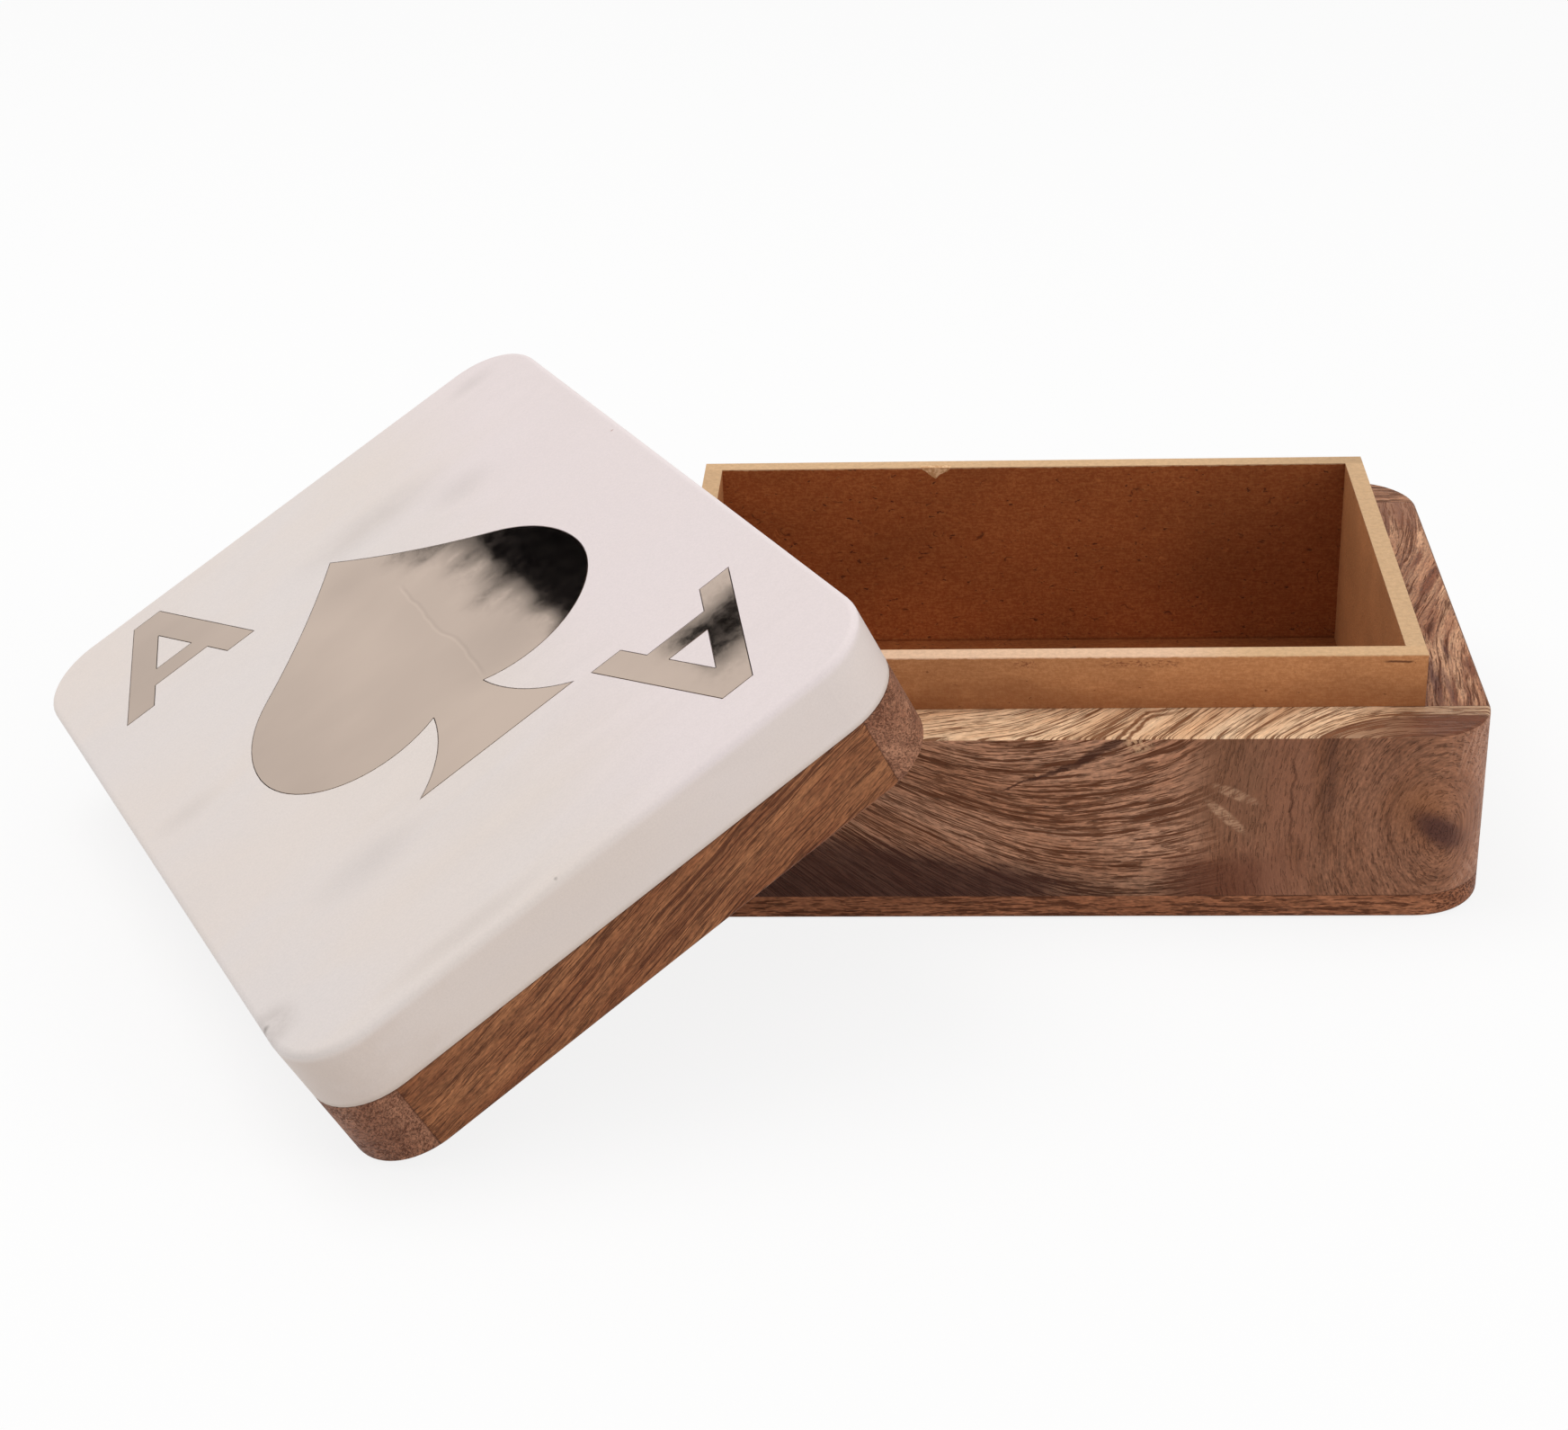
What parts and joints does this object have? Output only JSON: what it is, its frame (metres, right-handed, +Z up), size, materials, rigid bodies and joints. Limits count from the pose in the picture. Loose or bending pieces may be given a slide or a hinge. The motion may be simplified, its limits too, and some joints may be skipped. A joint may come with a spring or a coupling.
{
  "type": "playing card box",
  "caption": "Wooden playing card box with a standing liner and a lift-off lid, whose marble slab has inlaid metal card signs; the lid is off and leans on the box.",
  "frame": {"origin": "centre of the box's underside, on the surface it stands on", "axes": "+Z up, +X along the box's long side to the right, +Y across it to the back; the lid leans on the front left corner"},
  "size_m": [0.2823, 0.209, 0.0798],
  "materials": {
    "mango_wood": "satin, oiled",
    "lid_wood": "satin, oiled",
    "fibreboard": "matt, sanded edges paler",
    "white_marble": "honed, faint grey veins",
    "polished_steel": "polished, slightly wavy"
  },
  "bodies": {
    "box": {"base_board": "mango_wood", "box_front_wall": "mango_wood", "box_back_wall": "mango_wood", "box_left_wall": "mango_wood", "box_right_wall": "mango_wood", "liner_floor": "fibreboard", "liner_front": "fibreboard", "liner_back": "fibreboard", "liner_left": "fibreboard", "liner_right": "fibreboard"},
    "lid": {"lid_left_rail": "lid_wood", "lid_right_rail": "lid_wood", "lid_foot_rail": "lid_wood", "lid_head_rail": "lid_wood", "lid_panel": "fibreboard", "marble_slab": "white_marble", "spade_inlay": "polished_steel", "letter_inlay_head": "polished_steel", "letter_inlay_foot": "polished_steel"}
  },
  "joints": [
    {"name": "lid_lift", "type": "slide", "parent": "box", "child": "lid", "axis": [0, 0, 1], "range_m": [0, 0.06]}
  ]
}
